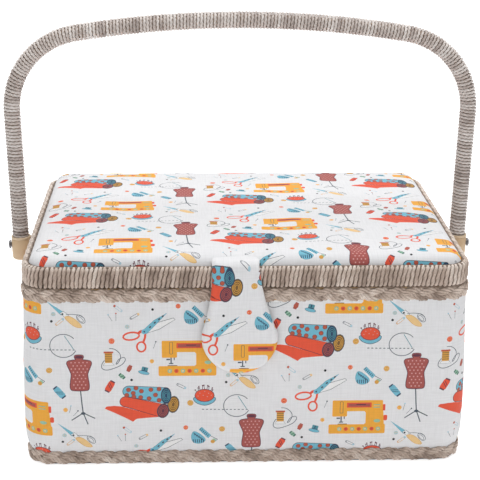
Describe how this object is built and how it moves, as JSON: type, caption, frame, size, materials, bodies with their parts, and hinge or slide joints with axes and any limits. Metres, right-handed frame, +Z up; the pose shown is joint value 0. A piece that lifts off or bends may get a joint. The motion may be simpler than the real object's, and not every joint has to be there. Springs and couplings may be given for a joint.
{
  "type": "sewing box",
  "caption": "Rectangular fabric-covered sewing box with a hinged padded lid, closing tab, swinging bail handle and stacked lift-out trays.",
  "frame": {"origin": "on the surface that the box stands on, under the middle of the box", "axes": "+X to the box's right as seen from the front, +Y to the back where the hinges are, +Z up; the tab is at -Y"},
  "size_m": [0.3718, 0.2474, 0.3215],
  "materials": {
    "print_fabric": null,
    "lining_fabric": "plain woven cotton",
    "cushion_fabric": "short-napped felt",
    "foam": "open-cell foam",
    "felt": "felt",
    "paper_cord": "two-ply twisted paper cord",
    "fibreboard": "raw fibreboard",
    "wood": "planed softwood",
    "cap_plastic": "satin moulded",
    "tray_plastic": "injection moulded",
    "brass": "brass plated",
    "steel": "darkened steel"
  },
  "bodies": {
    "box": {"back_board": "fibreboard", "base_board": "fibreboard", "base_felt": "felt", "body_cover": "print_fabric", "body_lining": "lining_fabric", "body_magnet": "steel", "bottom_braid": "paper_cord", "corner_post_back_left": "wood", "corner_post_back_right": "wood", "corner_post_front_left": "wood", "corner_post_front_right": "wood", "front_board": "fibreboard", "hinge_body_leaf_left": "brass", "hinge_body_leaf_right": "brass", "hinge_body_screw_left_1": "brass", "hinge_body_screw_left_2": "brass", "hinge_body_screw_right_1": "brass", "hinge_body_screw_right_2": "brass", "hinge_pin_left": "brass", "hinge_pin_right": "brass", "left_board": "fibreboard", "right_board": "fibreboard", "top_braid": "paper_cord", "tray_ledge_left": "wood", "tray_ledge_right": "wood"},
    "lid": {"hinge_lid_leaf_left": "brass", "hinge_lid_leaf_right": "brass", "hinge_lid_screw_left_1": "brass", "hinge_lid_screw_left_2": "brass", "hinge_lid_screw_right_1": "brass", "hinge_lid_screw_right_2": "brass", "lid_board": "fibreboard", "lid_cover": "print_fabric", "lid_frame": "wood", "lid_lining": "lining_fabric", "lid_pad": "foam", "lid_pincushion": "cushion_fabric", "lid_pocket": "lining_fabric", "lid_rim_strip": "wood", "lid_rim_wrap": "paper_cord", "tab_hem": "print_fabric"},
    "tab": {"tab_back": "lining_fabric", "tab_front": "print_fabric", "tab_magnet": "steel"},
    "pivot_bolts": {"pivot_bolt_left": "steel", "pivot_bolt_right": "steel", "pivot_nut_left": "steel", "pivot_nut_right": "steel", "pivot_spacer_left": "steel", "pivot_spacer_right": "steel", "pivot_washer_left": "steel", "pivot_washer_right": "steel"},
    "handle": {"handle_cap_left": "cap_plastic", "handle_cap_right": "cap_plastic", "handle_core": "wood", "handle_wrap": "paper_cord"},
    "lower_tray": {"lower_tray": "tray_plastic"},
    "upper_tray": {"upper_tray": "tray_plastic"}
  },
  "joints": [
    {"name": "lid_hinge", "type": "hinge", "parent": "box", "child": "lid", "pos_m": [0, 0.1226, 0.142], "axis": [-1, 0, 0], "range_deg": [0, 100]},
    {"name": "tab_hinge", "type": "hinge", "parent": "lid", "child": "tab", "pos_m": [0, -0.12045, 0.15905], "axis": [-1, 0, 0], "range_deg": [0, 140]},
    {"name": "bolt_turn", "type": "hinge", "parent": "box", "child": "pivot_bolts", "pos_m": [0, 0, 0.135], "axis": [1, 0, 0], "range_deg": [-90, 0]},
    {"name": "handle_swing", "type": "hinge", "parent": "pivot_bolts", "child": "handle", "pos_m": [0, 0, 0.135], "axis": [1, 0, 0], "range_deg": [-95, 95]},
    {"name": "lower_tray_lift", "type": "slide", "parent": "box", "child": "lower_tray", "axis": [0, 0, 1], "range_m": [0, 0.01]},
    {"name": "upper_tray_lift", "type": "slide", "parent": "lower_tray", "child": "upper_tray", "axis": [0, 0, 1], "range_m": [0, 0.01]}
  ],
  "couplings": [
    {"joint": "bolt_turn", "follows": "lid_hinge", "ratio": -0.9}
  ]
}
